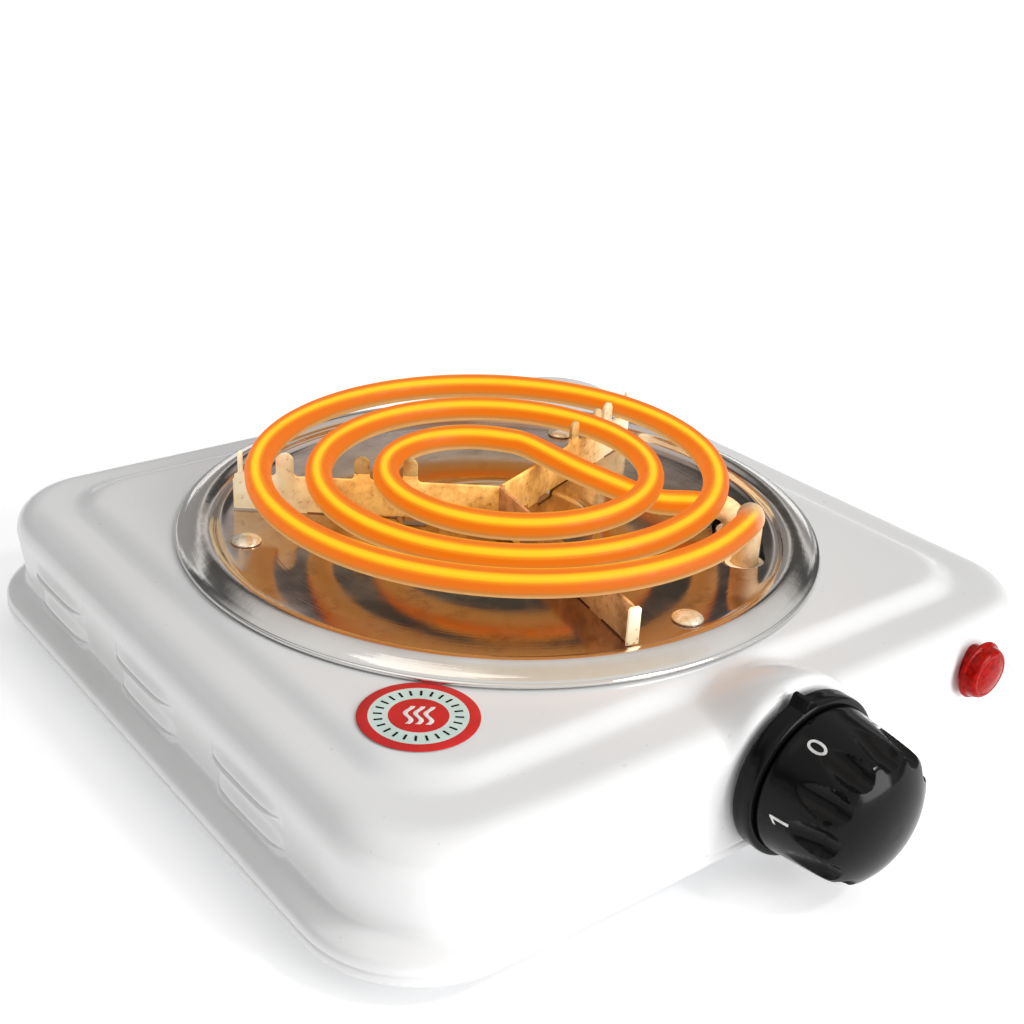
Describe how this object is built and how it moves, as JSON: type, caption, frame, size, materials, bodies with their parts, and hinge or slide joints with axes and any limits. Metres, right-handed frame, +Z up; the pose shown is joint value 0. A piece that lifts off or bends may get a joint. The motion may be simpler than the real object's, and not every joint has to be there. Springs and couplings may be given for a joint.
{
  "type": "hot plate burner",
  "caption": "Square enamelled countertop hot plate with one spiral tubular element over a polished drip pan and a front control knob.",
  "frame": {"origin": "centre of the bounding box on the surface the four feet stand on", "axes": "+Z up; the knob faces -Y; +X to the right seen from the front"},
  "size_m": [0.23, 0.2554, 0.0604],
  "materials": {
    "zinc": "zinc-plated steel",
    "steel": "mill-finished steel sheet",
    "ceramic": "unglazed cream steatite ceramic",
    "brass": "plain brass",
    "bakelite": "glossy black phenolic",
    "rubber": "black rubber",
    "chrome": "bright polished stainless steel",
    "element": "tubular sheathed element, glowing orange",
    "lead_pale": "glass-fibre sleeved wire",
    "lead_tan": "glass-fibre sleeved wire",
    "bulb": "small neon lamp",
    "lens": "translucent red lens",
    "label": "printed round label",
    "enamel": "glossy white vitreous enamel on pressed steel"
  },
  "bodies": {
    "appliance": {"base_plate": "zinc", "blade_pin": "steel", "ceramic_bead_inner": "ceramic", "ceramic_bead_outer": "ceramic", "clamp_screw_inner": "zinc", "clamp_screw_outer": "zinc", "cord_gland": "rubber", "drip_pan": "chrome", "earth_screw": "brass", "element_clamp": "zinc", "fixed_contact": "brass", "foot_back_left": "rubber", "foot_back_right": "rubber", "foot_front_left": "rubber", "foot_front_right": "rubber", "foot_screw_back_left": "zinc", "foot_screw_back_right": "zinc", "foot_screw_front_left": "zinc", "foot_screw_front_right": "zinc", "heat_shield": "zinc", "heating_coil": "element", "knob_bezel": "bakelite", "lamp_clip": "steel", "lead_lamp": "lead_pale", "lead_mains": "lead_tan", "lead_to_block": "lead_pale", "lead_to_switch": "lead_tan", "pan_rivet_front": "steel", "pan_rivet_left": "steel", "pan_rivet_rear": "steel", "pilot_bulb": "bulb", "pilot_lens": "lens", "round_label": "label", "support_arm_rear": "steel", "support_strip_folded": "steel", "switch_block": "ceramic", "switch_frame": "zinc", "switch_screw_left": "zinc", "switch_screw_right": "zinc", "terminal_block": "ceramic", "terminal_pin_inner": "steel", "terminal_pin_outer": "steel", "terminal_screw_live": "brass", "terminal_screw_neutral": "brass", "upper_housing": "enamel"},
    "knob": {"control_knob": "bakelite", "control_spindle": "brass"},
    "blade": {"contact_blade": "brass"}
  },
  "joints": [
    {"name": "knob_turn", "type": "hinge", "parent": "appliance", "child": "knob", "pos_m": [0.001, -0.10355, 0.0255], "axis": [0, 1, 0], "range_deg": [0, 300]},
    {"name": "contact_lift", "type": "hinge", "parent": "appliance", "child": "blade", "pos_m": [-0.029, -0.07875, 0.0305], "axis": [0, -1, 0], "range_deg": [0, 3.9]}
  ],
  "couplings": [
    {"joint": "contact_lift", "follows": "knob_turn", "ratio": 0.012732}
  ]
}
